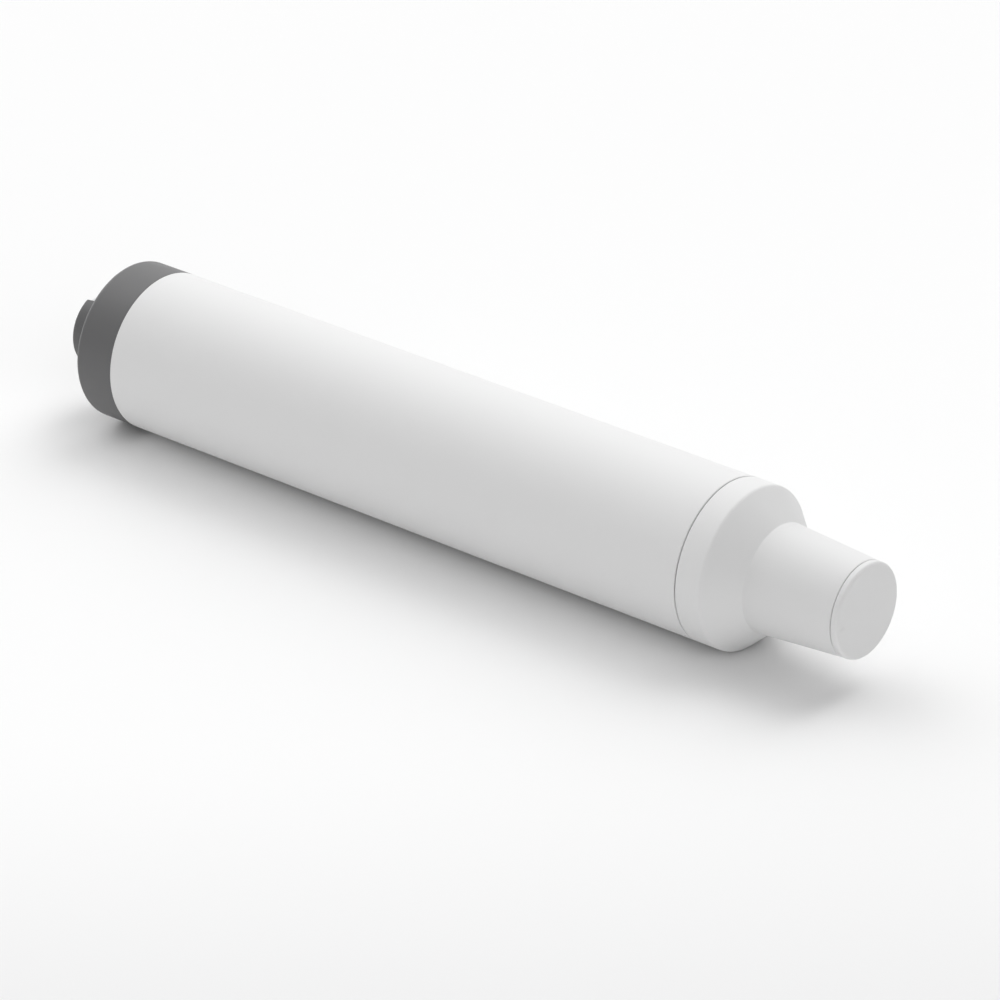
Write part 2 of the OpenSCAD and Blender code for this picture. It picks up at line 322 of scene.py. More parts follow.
# A shader group, with its input and output nodes
def newGroup(name, inputs, outputs):
    group = bpy.data.node_groups.new(name, "ShaderNodeTree")
    for socketName, kind, value in inputs:
        socket = group.interface.new_socket(socketName, in_out="INPUT", socket_type="NodeSocket" + kind)
        if value is not None:
            socket.default_value = value
    for socketName, kind in outputs:
        group.interface.new_socket(socketName, in_out="OUTPUT", socket_type="NodeSocket" + kind)
    return group, group.nodes.new("NodeGroupInput"), group.nodes.new("NodeGroupOutput")


def addNode(tree, kind, inputs=None, **settings):
    node = tree.nodes.new("ShaderNode" + kind)
    for key, value in settings.items():
        setattr(node, key, value)
    for key, value in (inputs or {}).items():
        if isinstance(value, bpy.types.NodeSocket):
            tree.links.new(value, node.inputs[key])
        else:
            node.inputs[key].default_value = value
    return node


def maths(tree, operation, *values):
    return addNode(tree, "Math", dict(enumerate(values)), operation=operation).outputs[0]


# From the first colour where share is 0 to the second where it is 1
def mixColours(tree, share, first, second):
    mix = addNode(tree, "Mix", {"Factor": share, "A": first, "B": second}, data_type="RGBA")
    return mix.outputs["Result"]


# Grained skin of a moulding: two octaves of bump, with colour and gloss that drift a little
def makeMouldedSkin():
    group, source, sink = newGroup("mouldedSkin", [
        ("Position", "Vector", None), ("Colour", "Color", (0.8, 0.8, 0.8, 1)),
        ("Drift Colour", "Color", (0.7, 0.7, 0.7, 1)), ("Drift", "Float", 0.2),
        ("Roughness", "Float", 0.4), ("Roughness Drift", "Float", 0.05),
        ("Grain Scale", "Float", 2500.0), ("Grain Depth", "Float", 0.1)],
        [("Colour", "Color"), ("Roughness", "Float"), ("Normal", "Vector")])
    value = source.outputs
    place = value["Position"]
    cloud = addNode(group, "TexNoise", {"Vector": place, "Scale": 35.0, "Detail": 3.0, "Roughness": 0.55})
    share = maths(group, "MULTIPLY", cloud.outputs["Fac"], value["Drift"])
    colour = mixColours(group, share, value["Colour"], value["Drift Colour"])
    smear = addNode(group, "TexNoise", {"Vector": place, "Scale": 160.0, "Detail": 4.0})
    centred = maths(group, "SUBTRACT", smear.outputs["Fac"], 0.5)
    rough = maths(group, "MULTIPLY_ADD", centred, value["Roughness Drift"], value["Roughness"])
    grain = addNode(group, "TexNoise", {"Vector": place, "Scale": value["Grain Scale"], "Detail": 2.0})
    ripple = addNode(group, "TexNoise", {"Vector": place, "Scale": 90.0, "Detail": 1.0})
    height = maths(group, "MULTIPLY_ADD", ripple.outputs["Fac"], 2.5, grain.outputs["Fac"])
    bump = addNode(group, "Bump", {"Height": height, "Strength": value["Grain Depth"], "Distance": 0.0001})
    group.links.new(colour, sink.inputs["Colour"])
    group.links.new(rough, sink.inputs["Roughness"])
    group.links.new(bump.outputs["Normal"], sink.inputs["Normal"])
    return group


# Lighter edges, partly wear and partly a painted highlight on the roundings: the piece's own edgeShare
# attribute, broken up by noise
def makeEdgeWearAndHighlight():
    group, source, sink = newGroup("edgeWearAndHighlight", [
        ("Position", "Vector", None), ("Edge", "Float", 0.0), ("Amount", "Float", 0.3),
        ("Scale", "Float", 400.0)], [("Mask", "Float")])
    value = source.outputs
    noise = addNode(group, "TexNoise", {"Vector": value["Position"], "Scale": value["Scale"], "Detail": 5.0,
                                        "Roughness": 0.65})
    speck = addNode(group, "MapRange", {"Value": noise.outputs["Fac"], "From Min": 0.42, "From Max": 0.68})
    product = maths(group, "MULTIPLY", speck.outputs["Result"], value["Edge"])
    mask = addNode(group, "Math", {0: product, 1: value["Amount"]}, operation="MULTIPLY", use_clamp=True)
    group.links.new(mask.outputs[0], sink.inputs["Mask"])
    return group


# Coordinates that follow a turned piece: along the axis, round it and out from it, in metres
def makeAxisCoordinates():
    group, source, sink = newGroup("axisCoordinates", [
        ("Position", "Vector", None), ("Round Radius", "Float", 0.02)], [("Vector", "Vector")])
    value = source.outputs
    part = addNode(group, "SeparateXYZ", {0: value["Position"]})
    lift = maths(group, "SUBTRACT", part.outputs["Z"], axisHeight)
    angle = maths(group, "ARCTAN2", part.outputs["Y"], lift)
    arc = maths(group, "MULTIPLY", angle, value["Round Radius"])
    flat = addNode(group, "CombineXYZ", {"X": part.outputs["Y"], "Y": lift})
    out = addNode(group, "VectorMath", {0: flat.outputs[0]}, operation="LENGTH")
    vector = addNode(group, "CombineXYZ", {"X": part.outputs["X"], "Y": arc, "Z": out.outputs["Value"]})
    group.links.new(vector.outputs[0], sink.inputs["Vector"])
    return group


mouldedSkin = makeMouldedSkin()
edgeWearAndHighlight = makeEdgeWearAndHighlight()
axisCoordinates = makeAxisCoordinates()


# A material of one Principled shader, and the Object coordinates that its patterns read
def newMaterial(name, **shader):
    material = bpy.data.materials.new(name)
    material.use_nodes = True
    tree = material.node_tree
    tree.nodes.clear()
    principled = tree.nodes.new("ShaderNodeBsdfPrincipled")
    output = tree.nodes.new("ShaderNodeOutputMaterial")
    tree.links.new(principled.outputs[0], output.inputs["Surface"])
    for key, value in shader.items():
        principled.inputs[key.replace("_", " ")].default_value = value
    position = tree.nodes.new("ShaderNodeTexCoord").outputs["Object"]
    return material, tree, principled, position


def useGroup(tree, group, **inputs):
    node = tree.nodes.new("ShaderNodeGroup")
    node.node_tree = group
    for key, value in inputs.items():
        socket = node.inputs[key.replace("_", " ")]
        if isinstance(value, bpy.types.NodeSocket):
            tree.links.new(value, socket)
        else:
            socket.default_value = value
    return node


def connectSurface(tree, principled, colour, roughness, normal):
    for socketName, value in (("Base Color", colour), ("Roughness", roughness), ("Normal", normal)):
        tree.links.new(value, principled.inputs[socketName])


# Moulded plastic: the skin group under lighter edges, partly wear and partly painted highlight
def makePlastic(name, look):
    material, tree, principled, position = newMaterial(name, IOR=look["ior"])
    skin = useGroup(tree, mouldedSkin, Position=position, Colour=(*look["colour"], 1),
                    Drift_Colour=(*look["driftColour"], 1), Drift=look["drift"],
                    Roughness=look["roughness"], Roughness_Drift=look["roughnessDrift"],
                    Grain_Scale=look["grainScale"], Grain_Depth=look["grainDepth"])
    edge = addNode(tree, "Attribute", attribute_name="edgeShare")
    # painted highlight and wear: the rounded edges' colour is mixed towards a lighter one
    wearAndHighlight = useGroup(tree, edgeWearAndHighlight, Position=position, Edge=edge.outputs["Fac"],
                     Amount=look["wearAndHighlight"], Scale=600.0)
    colour = mixColours(tree, wearAndHighlight.outputs["Mask"], skin.outputs["Colour"], (*look["wearAndHighlightColour"], 1))
    connectSurface(tree, principled, colour, skin.outputs["Roughness"], skin.outputs["Normal"])
    return material


whiteShell = makePlastic("whiteShell", {
    "colour": (0.80, 0.80, 0.80), "driftColour": (0.77, 0.77, 0.77), "drift": 0.3, "ior": 1.38,
    "roughness": 0.52, "roughnessDrift": 0.08, "grainScale": 2600.0, "grainDepth": 0.12,
    "wearAndHighlight": 0.25, "wearAndHighlightColour": (0.84, 0.84, 0.84)})
# the grey cap's lighter edges are partly a painted highlight along its rounded rims and partly wear
greyShell = makePlastic("greyShell", {
    "colour": (0.125, 0.125, 0.127), "driftColour": (0.145, 0.145, 0.147), "drift": 0.5, "ior": 1.45,
    "roughness": 0.46, "roughnessDrift": 0.10, "grainScale": 2600.0, "grainDepth": 0.16,
    "wearAndHighlight": 0.55, "wearAndHighlightColour": (0.22, 0.22, 0.222)})
acetalPlastic = makePlastic("acetalPlastic", {
    "colour": (0.74, 0.75, 0.75), "driftColour": (0.70, 0.71, 0.72), "drift": 0.3, "ior": 1.48,
    "roughness": 0.28, "roughnessDrift": 0.06, "grainScale": 2200.0, "grainDepth": 0.08,
    "wearAndHighlight": 0.2, "wearAndHighlightColour": (0.80, 0.80, 0.80)})
naturalPlastic = makePlastic("naturalPlastic", {
    "colour": (0.70, 0.71, 0.69), "driftColour": (0.62, 0.63, 0.62), "drift": 0.4, "ior": 1.49,
    "roughness": 0.38, "roughnessDrift": 0.08, "grainScale": 1800.0, "grainDepth": 0.12,
    "wearAndHighlight": 0.2, "wearAndHighlightColour": (0.76, 0.76, 0.76)})
sealRubber = makePlastic("sealRubber", {
    "colour": (0.018, 0.018, 0.019), "driftColour": (0.035, 0.035, 0.037), "drift": 0.6, "ior": 1.5,
    "roughness": 0.38, "roughnessDrift": 0.2, "grainScale": 3200.0, "grainDepth": 0.2,
    "wearAndHighlight": 0.3, "wearAndHighlightColour": (0.07, 0.07, 0.07)})


# Drawn or stamped steel: fine lines that run round the axis, with a gloss that varies from line to line
def makeSteel(name, colour, lineScale):
    material, tree, principled, position = newMaterial(name, Metallic=1.0, IOR=2.5)
    around = useGroup(tree, axisCoordinates, Position=position, Round_Radius=0.013)
    scale = (lineScale, 60.0, lineScale)
    stretch = addNode(tree, "Mapping", {"Vector": around.outputs["Vector"], "Scale": scale})
    lines = addNode(tree, "TexNoise", {"Vector": stretch.outputs[0], "Scale": 1.0, "Detail": 4.0,
                                       "Roughness": 0.6})
    darker = [c * 0.82 for c in colour]
    tone = mixColours(tree, lines.outputs["Fac"], (*colour, 1), (*darker, 1))
    rough = addNode(tree, "MapRange", {"Value": lines.outputs["Fac"], "To Min": 0.2, "To Max": 0.42})
    bump = addNode(tree, "Bump", {"Height": lines.outputs["Fac"], "Strength": 0.15, "Distance": 0.00005})
    connectSurface(tree, principled, tone, rough.outputs["Result"], bump.outputs["Normal"])
    return material


springSteel = makeSteel("springSteel", (0.60, 0.60, 0.61), 3000.0)
meshSteel = makeSteel("meshSteel", (0.55, 0.555, 0.56), 5000.0)


# Matted or granular filling: dark and light specks over a tone, rough all over, with its own bump
def makeFilling(name, look):
    material, tree, principled, position = newMaterial(name, Specular_IOR_Level=look["specular"])
    speck = addNode(tree, "TexVoronoi", {"Vector": position, "Scale": look["speckScale"]})
    cloud = addNode(tree, "TexNoise", {"Vector": position, "Scale": look["cloudScale"], "Detail": 6.0,
                                       "Roughness": 0.7})
    pick = addNode(tree, "SeparateColor", {0: speck.outputs["Color"]})
    share = addNode(tree, "Mix", {"Factor": 0.5, "A": pick.outputs["Red"], "B": cloud.outputs["Fac"]},
                    data_type="FLOAT")
    tone = mixColours(tree, share.outputs["Result"], (*look["dark"], 1), (*look["light"], 1))
    rough = addNode(tree, "MapRange", {"Value": pick.outputs["Green"], "To Min": look["roughLow"],
                                       "To Max": look["roughHigh"]})
    bump = addNode(tree, "Bump", {"Height": cloud.outputs["Fac"], "Strength": look["bump"],
                                  "Distance": 0.0003})
    connectSurface(tree, principled, tone, rough.outputs["Result"], bump.outputs["Normal"])
    return material


carbonGrains = makeFilling("carbonGrains", {
    "speckScale": 900.0, "cloudScale": 1500.0, "dark": (0.006, 0.006, 0.006), "light": (0.035, 0.035, 0.036),
    "roughLow": 0.3, "roughHigh": 0.8, "bump": 0.6, "specular": 0.5})
foamCells = makeFilling("foamCells", {
    "speckScale": 1600.0, "cloudScale": 700.0, "dark": (0.03, 0.032, 0.036), "light": (0.075, 0.08, 0.088),
    "roughLow": 0.75, "roughHigh": 0.95, "bump": 0.5, "specular": 0.25})
feltFibres = makeFilling("feltFibres", {
    "speckScale": 2500.0, "cloudScale": 1200.0, "dark": (0.62, 0.59, 0.50), "light": (0.84, 0.81, 0.73),
    "roughLow": 0.85, "roughHigh": 1.0, "bump": 0.8, "specular": 0.2})
print("materials:", len(bpy.data.materials))


# push-fit ports, one in the boss and one in the neck
portLook = {
    "cavityRadius": 8.4 * mm, "cavityDepth": 13.1 * mm,      # room for the seal and the grab ring
    "socketRadius": 6.1 * mm, "socketDepth": 20.0 * mm,      # blind socket that stops the pipe
    "passageRadius": 4.8 * mm,
}


# Corners of the stepped hole, from the passage out to the mouth. inward is +1 or -1 along the axis.
def portCorners(mouth, inward, mouthRounding):
    look = portLook
    stop, step = mouth + inward * look["socketDepth"], mouth + inward * look["cavityDepth"]
    return [(stop, look["passageRadius"], 0.25 * mm), (stop, look["socketRadius"], 0.2 * mm),
            (step, look["socketRadius"], 0.4 * mm), (step, look["cavityRadius"], 0.2 * mm),
            (mouth, look["cavityRadius"], mouthRounding)]


# white tube
tubeLook = {
    "wall": 2.5 * mm,
    "mouthLength": 10.5 * mm,    # threaded mouth, from the joint
    "mouthDeeper": 0.7 * mm,     # how much wider the mouth is than the bore
    "threadHeight": 0.2 * mm, "threadFade": 1.2 * mm, "pitch": 2.0 * mm,
}


def makeTube(look):
    bore = tubeRadius - look["wall"]
    mouth = bore + look["mouthDeeper"]
    start, end = tubeLow.x, tubeHigh.x
    mouthEnd = start + look["mouthLength"]
    outline = roundedOutline([
        (start, mouth, 0.2 * mm), (start, tubeRadius, 0.1 * mm), (end, tubeRadius, 0.25 * mm),
        (end, bore, 0.2 * mm), (mouthEnd, bore, 0.2 * mm), (mouthEnd, mouth, 0.1 * mm)])
    outline = densify(*outline, fine=0.2 * mm, zone=(start, mouthEnd, mouth - 0.1 * mm, mouth + 0.1 * mm))

    # right-handed thread: the wall stands in by threadHeight where the turn's phase is near a crest
    def cutThread(angle, station, radius):
        phase = ((station - start) / look["pitch"] + angle / fullTurn) % 1
        crest = smoothStep(0.55, 0.7, phase) * (1 - smoothStep(0.85, 1.0, phase))
        fade = between(start, mouthEnd, look["threadFade"], station)
        onMouth = np.abs(radius - mouth) < 0.05 * mm
        return station, radius - np.where(onMouth, look["threadHeight"] * crest * fade, 0)

    shell = turned(*outline, turns=shellTurns, reshape=cutThread)
    addPiece("tube_shell", [shell], whiteShell, ["housing_tube"])


makeTube(tubeLook)


# grey screw cap
capLook = {
    "bandLength": 12.15 * mm, "bandRounding": 1.2 * mm,
    "bossRadius": 10.45 * mm, "bossRounding": 0.4 * mm, "bossFillet": 0.6 * mm,
    # two finger notches in the boss, whose shift dies out over notchHold of their depth
    "notchAngle": math.radians(49), "notchDepth": 3.0 * mm, "notchRamp": 0.025, "notchHold": 2.5,
    "rootRadius": 17.9 * mm, "threadHeight": 0.95 * mm, "pitch": 2.0 * mm,
    "threadStart": 1.2 * mm, "threadEnd": 9.6 * mm, "threadFade": 1.6 * mm,
    "shoulderAt": 10.3 * mm, "plugRadius": 18.2 * mm,
    "grooveAt": 12.9 * mm, "grooveHalf": 1.1 * mm, "grooveRadius": 16.6 * mm,
    "chamberRadius": 15.0 * mm, "chamberAt": 0.5 * mm,
}


def makeCap(look):
    joint = tubeLow.x - 0.05 * mm
    bandEnd, bossEnd, plugEnd = joint - look["bandLength"], capLow.x, capHigh.x
    root, plug = look["rootRadius"], look["plugRadius"]
    groove = joint + look["grooveAt"]
    chamberFloor = joint + look["chamberAt"]
    outline = roundedOutline([
        (bossEnd, look["bossRadius"], look["bossRounding"]),
        (bandEnd, look["bossRadius"], look["bossFillet"]),
        (bandEnd, tubeRadius, look["bandRounding"]), (joint, tubeRadius, 0.06 * mm),
        (joint, root, 0.2 * mm), (joint + look["shoulderAt"] - 0.3 * mm, root, 0.1 * mm),
        (joint + look["shoulderAt"], plug, 0.1 * mm),
        (groove - look["grooveHalf"], plug, 0.12 * mm),
        (groove - look["grooveHalf"], look["grooveRadius"], 0.25 * mm),
        (groove + look["grooveHalf"], look["grooveRadius"], 0.25 * mm),
        (groove + look["grooveHalf"], plug, 0.12 * mm),
        (plugEnd, plug, 0.8 * mm), (plugEnd, look["chamberRadius"], 0.5 * mm),
        (chamberFloor, look["chamberRadius"], 1.2 * mm), (chamberFloor, portLook["passageRadius"], 0.4 * mm),
        *portCorners(bossEnd, 1, 0.5 * mm)])
    threaded = (joint + 0.3 * mm, joint + look["shoulderAt"] - 0.4 * mm, root - 0.1 * mm, root + 0.1 * mm)
    outline = densify(*outline, fine=0.16 * mm, longest=2.5 * mm, zone=threaded)

    # the boss's end moves in where a notch is; right-handed thread: a ridge that moves one pitch a turn
    def cutCap(angle, station, radius):
        notch = slotShare(angle, notches, look["notchAngle"] / 2, look["notchRamp"])
        hold = bossEnd + look["notchHold"] * look["notchDepth"]
        station = station + look["notchDepth"] * notch * np.clip((hold - station) / (hold - bossEnd), 0, 1)
        phase = ((station - joint) / look["pitch"] + angle / fullTurn) % 1
        ridge = smoothStep(0.05, 0.3, phase) * (1 - smoothStep(0.5, 0.75, phase))
        first, last = joint + look["threadStart"], joint + look["threadEnd"]
        fade = between(first, last, look["threadFade"], station)
        onRoot = np.abs(radius - root) < 0.05 * mm
        return station, radius + np.where(onRoot, look["threadHeight"] * ridge * fade, 0)

    notches = (0, math.pi)
    angles = slottedAngles(notches, look["notchAngle"] / 2, look["notchRamp"], shellTurns)
    addPiece("cap_shell", [turned(*outline, angles=angles, reshape=cutCap)], greyShell, ["inlet_cap"])


makeCap(capLook)


# white outlet head
headLook = {
    "seam": 0.35 * mm, "bandLength": 7.15 * mm, "coneLength": 7.7 * mm,
    "shoulderRounding": 1.3 * mm, "neckFillet": 0.4 * mm,
    "neckBase": 13.95 * mm, "neckTip": 12.25 * mm,
    "spigotRadius": 18.45 * mm, "grooveBack": 5.5 * mm, "grooveHalf": 1.05 * mm, "grooveRadius": 16.8 * mm,
    "chamberRadius": 15.0 * mm,
}


def makeHead(look):
    band = tubeHigh.x + look["seam"]
    shoulder = band + look["bandLength"]
    neck = shoulder + look["coneLength"]
    spigotEnd, tip = headLow.x, headHigh.x
    groove = band - look["grooveBack"]
    throat = tip - portLook["socketDepth"]
    outline = roundedOutline([
        (spigotEnd, look["spigotRadius"], 0.5 * mm),
        (groove - look["grooveHalf"], look["spigotRadius"], 0.12 * mm),
        (groove - look["grooveHalf"], look["grooveRadius"], 0.25 * mm),
        (groove + look["grooveHalf"], look["grooveRadius"], 0.25 * mm),
        (groove + look["grooveHalf"], look["spigotRadius"], 0.12 * mm),
        (band, look["spigotRadius"], 0.12 * mm), (band, tubeRadius, 0.25 * mm),
        (shoulder, tubeRadius, look["shoulderRounding"]), (neck, look["neckBase"], look["neckFillet"]),
        (tip, look["neckTip"], 0.25 * mm),
        *reversed(portCorners(tip, -1, 0.3 * mm)),
        (throat - 3 * mm, portLook["passageRadius"], 1 * mm),
        (neck - 2 * mm, look["neckBase"] - 3 * mm, 2 * mm),
        (shoulder - 3 * mm, look["chamberRadius"], 2 * mm),
        (spigotEnd, look["chamberRadius"], 0.4 * mm)], steps=8)
    outline = densify(*outline, longest=2.5 * mm)
    addPiece("head_shell", [turned(*outline, turns=shellTurns)], whiteShell, ["outlet_head"])


makeHead(headLook)


# dust cap
dustLook = {
    "discRadius": 12.25 * mm, "discRounding": 0.9 * mm, "discLength": 1.8 * mm,
    "stepRadius": 11.9 * mm, "stepLength": 0.24 * mm,      # shallow step that nearly fills the seam
    "stemRadius": 5.9 * mm, "stemWall": 1.5 * mm,
    "ribs": 6, "ribHeight": 0.12 * mm, "ribRise": 4 * mm,
    "gateAngle": 4.66, "gateRadius": 9.7 * mm, "gateSize": 0.55 * mm, "gateDepth": 0.3 * mm,
}


def makeDustCap(look):
    face = dustHigh.x
    under = face - look["discLength"]
    neckFace = headHigh.x
    stemEnd, stem = dustLow.x, look["stemRadius"]
    outline = roundedOutline([
        (face, 0, 0), (face, look["discRadius"], look["discRounding"]),
        (under, look["discRadius"], 0.15 * mm),
        (under, look["stepRadius"], 0), (under - look["stepLength"], look["stepRadius"], 0.05 * mm),
        (under - look["stepLength"], stem, 0.15 * mm), (stemEnd, stem, 0.6 * mm),
        (stemEnd, stem - look["stemWall"], 0.3 * mm), (neckFace, stem - look["stemWall"], 0.5 * mm),
        (neckFace, 0, 0)], closed=False)
    gateZone = (face - 0.01 * mm, face + 0.01 * mm, look["gateRadius"] - 2 * mm, look["discRadius"])
    outline = densify(*outline, closed=False, longest=1.5 * mm, fine=0.3 * mm, zone=gateZone)

    # crush ribs along the stem, and the mark that the moulding gate left near the face's edge
    def shapeStem(angle, station, radius):
        onStem = (np.abs(radius - stem) < 0.02 * mm) & (station < under - look["stepLength"] - 0.5 * mm)
        rib = np.maximum(0, np.cos(look["ribs"] * angle)) ** 8
        rise = smoothStep(stemEnd, stemEnd + look["ribRise"], station)
        radius = radius + np.where(onStem, look["ribHeight"] * rib * rise, 0)
        away = np.hypot(radius * np.sin(angle) - look["gateRadius"] * math.sin(look["gateAngle"]),
                        radius * np.cos(angle) - look["gateRadius"] * math.cos(look["gateAngle"]))
        mark = np.exp(-(away / look["gateSize"]) ** 4)
        station = station - np.where(station > face - 0.02 * mm, look["gateDepth"] * mark, 0)
        return station, radius

    shell = turned(*outline, closed=False, turns=shellTurns, reshape=shapeStem)
    addPiece("dust_cap_shell", [shell], whiteShell, ["dust_cap"])


makeDustCap(dustLook)
print("shells: tube, cap, head and dust cap")


# seals
# flash height as a share of the wire's radius, width as an angle round the wire, points round the wire
sealLook = {"flashHeight": 0.025, "flashWidth": 0.16, "wirePoints": 40}


def makeSeal(look, node):
    low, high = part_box(node)
    wire = (high.x - low.x) / 2
    ring = (high.z - low.z) / 2 - wire
    b = evenAngles(look["wirePoints"])
    # moulding flash at the ring's outer and inner equators
    equator = np.exp(-(np.cos(b) / look["flashWidth"]) ** 2)
    flash = 1 - look["flashHeight"] + look["flashHeight"] * equator
    outline = np.stack([(low.x + high.x) / 2 + wire * flash * np.cos(b), ring + wire * flash * np.sin(b)], 1)
    addPiece(node + "_ring", [turned(outline, equator, turns=160)], sealRubber, [node])


for nodeName in ("cap_oring", "head_oring", "inlet_port_oring", "outlet_port_oring"):
    makeSeal(sealLook, nodeName)


# the ports' collets, grab rings and spacers. inward is +1 in the inlet boss and -1 in the outlet neck.
colletLook = {
    "bodyRadius": 7.8 * mm, "bore": 6.2 * mm, "lipRadius": 8.05 * mm, "lipLength": 1.6 * mm,
    "fingers": 6, "slotHalf": 0.08, "slotRamp": 0.012, "slotStart": 2.6 * mm, "slotDrawn": 0.985,
    "barbLength": 1.4 * mm, "waist": 0.35 * mm,
}


def makeCollet(look, node, inward):
    low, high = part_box(node)
    mouth, end = (low.x, high.x) if inward > 0 else (high.x, low.x)
    body, bore, lip = look["bodyRadius"], look["bore"], look["lipRadius"]
    outline = roundedOutline([
        (mouth, bore, 0.5 * mm), (mouth, lip, 0.3 * mm), (mouth + inward * look["lipLength"], lip, 0.15 * mm),
        (mouth + inward * (look["lipLength"] + 0.2 * mm), body - look["waist"], 0.3 * mm),
        (end - inward * look["barbLength"], body - look["waist"], 0.3 * mm),
        (end - inward * look["barbLength"] * 0.7, body, 0.1 * mm), (end, body - 0.5 * mm, 0.15 * mm),
        (end, bore + 0.15 * mm, 0.15 * mm), (end - inward * 1.5 * mm, bore, 0.3 * mm)], steps=4)
    outline = densify(*outline, longest=0.8 * mm)
    centres = evenAngles(look["fingers"])
    floor = look["slotStart"]

    # between two fingers everything past the slot's floor is drawn back to it
    def cutSlots(angle, station, radius):
        slot = slotShare(angle, centres, look["slotHalf"], look["slotRamp"])
        depth = (station - mouth) * inward
        past = np.maximum(depth - floor, 0)
        return station - inward * past * look["slotDrawn"] * slot, radius

    angles = slottedAngles(centres, look["slotHalf"], look["slotRamp"], 120)
    collet = turned(*outline, angles=angles, reshape=cutSlots)
    addPiece(node + "_ring", [collet], acetalPlastic, [node])


grabLook = {
    "hinge": 7.35 * mm, "tip": 6.22 * mm, "sheet": 0.22 * mm,
    "teeth": 12, "slotHalf": 0.06, "slotRamp": 0.015, "slotDrawn": 0.97,
}


def makeGrabRing(look, node, inward):
    low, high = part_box(node)
    outer = (high.z - low.z) / 2
    start, end = (low.x, high.x) if inward > 0 else (high.x, low.x)
    sheet = inward * look["sheet"]
    outline = roundedOutline([
        (start, outer, 0.04 * mm), (start, look["hinge"], 0.3 * mm), (end - sheet, look["tip"], 0.02 * mm),
        (end, look["tip"] + 0.05 * mm, 0.02 * mm), (start + sheet, look["hinge"] + 0.1 * mm, 0.3 * mm),
        (start + sheet, outer, 0.04 * mm)], steps=3, run=0.03 * mm)
    outline = densify(*outline, longest=0.3 * mm)
    centres = evenAngles(look["teeth"])

    # between two teeth the sheet ends at the hinge
    def cutTeeth(angle, station, radius):
        slot = slotShare(angle, centres, look["slotHalf"], look["slotRamp"])
        inside = np.maximum(look["hinge"] - radius, 0)
        lift = np.clip(inside / (look["hinge"] - look["tip"]), 0, 1) * (end - start - sheet)
        return station - lift * slot * look["slotDrawn"], radius + inside * slot * look["slotDrawn"]

    angles = slottedAngles(centres, look["slotHalf"], look["slotRamp"], 144)
    ring = turned(*outline, angles=angles, reshape=cutTeeth)
    addPiece(node + "_ring", [ring], springSteel, [node])


spacerLook = {"bore": 6.32 * mm, "notches": 8, "notchHalf": 0.09, "notchRamp": 0.03, "notchDepth": 0.25 * mm}


def makeSpacer(look, node):
    low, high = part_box(node)
    outer = (high.z - low.z) / 2
    outline = roundedOutline([
        (low.x, outer, 0.15 * mm), (low.x, look["bore"], 0.15 * mm),
        (high.x, look["bore"], 0.15 * mm), (high.x, outer, 0.15 * mm)], steps=4, run=0.05 * mm)
    outline = densify(*outline, longest=0.35 * mm)
    centres = evenAngles(look["notches"])

    # shallow notches round the outer edge let the ring drop into its bore
    def cutNotches(angle, station, radius):
        share = smoothStep(outer - 0.8 * mm, outer - 0.3 * mm, radius)
        notch = slotShare(angle, centres, look["notchHalf"], look["notchRamp"])
        return station, radius - look["notchDepth"] * share * notch

    angles = slottedAngles(centres, look["notchHalf"], look["notchRamp"], 96)
    ring = turned(*outline, angles=angles, reshape=cutNotches)
    addPiece(node + "_ring", [ring], acetalPlastic, [node])


for portName, inward in (("inlet", 1), ("outlet", -1)):
    makeCollet(colletLook, portName + "_collet", inward)
    makeGrabRing(grabLook, portName + "_grab_ring", inward)
    makeSpacer(spacerLook, portName + "_port_spacer")
print("ports: seals, collets, grab rings and spacers")


# bed spring
springLook = {
    "wire": 0.7 * mm, "turns": 7, "closedTurns": 1, "closedPitch": 1.42 * mm, "pointsPerTurn": 56,
    "endInset": 0.9, "wireDrawn": 0.995,    # both as shares of the wire's radius
}


def makeSpring(look):
    low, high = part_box("bed_spring")
    ring = (high.z - low.z) / 2 - look["wire"]
    turn = np.linspace(0, look["turns"], look["turns"] * look["pointsPerTurn"] + 1)
    inset = look["wire"] * look["endInset"]
    start, end = low.x + inset, high.x - inset
    closed, last = look["closedTurns"], look["turns"] - look["closedTurns"]
    rise = closed * look["closedPitch"]
    station = np.interp(turn, [0, closed, last, look["turns"]], [start, start + rise, end - rise, end])
    # the pitch changes over a quarter turn: a running mean of the broken line
    window = look["pointsPerTurn"] // 4
    padded = np.pad(station, window, mode="reflect", reflect_type="odd")
    station = np.convolve(padded, np.ones(2 * window + 1) / (2 * window + 1), "valid")
    angle = fullTurn * turn
    path = np.stack([station, ring * np.sin(angle), axisHeight + ring * np.cos(angle)], 1)[None]
    side = np.broadcast_to(np.array([1.0, 0, 0]), path.shape)
    wire = bars(path, side, look["wire"] * look["wireDrawn"], sides=14, clamp=(low.x, high.x))
    addPiece("bed_spring_wire", [wire], springSteel, ["bed_spring"])


makeSpring(springLook)


# woven screens
weaveLook = {"wire": 0.095 * mm, "pitch": 1.1 * mm, "rimWidth": 0.9 * mm, "pointsPerCrossing": 3}


# Wires in one direction of a plain weave inside a circle: each goes over and under its neighbours as
# wire * cos(pi u / pitch), and the next one does the opposite.
def weaveFamily(look, middle, reach, turned90, wave):
    pitch = look["pitch"]
    lines = np.arange(math.ceil(-reach / pitch) + 1, math.floor(reach / pitch)) * pitch
    half = np.sqrt(reach ** 2 - lines ** 2)
    count = int(2 * reach / pitch * look["pointsPerCrossing"]) + 1
    u = half[:, None] * np.linspace(-1, 1, count)
    parity = np.where(np.arange(len(lines)) % 2 == 0, 1, -1)[:, None] * wave
    station = middle + look["wire"] * parity * np.cos(math.pi * (u - pitch / 2 * (1 - wave) / 2) / pitch)
    across = np.broadcast_to(lines[:, None], u.shape)
    flat = (u, across) if turned90 else (across, u)
    paths = np.stack([station, flat[0], axisHeight + flat[1]], -1)
    return bars(paths, np.broadcast_to(np.array([1.0, 0, 0]), paths.shape), look["wire"], sides=5)


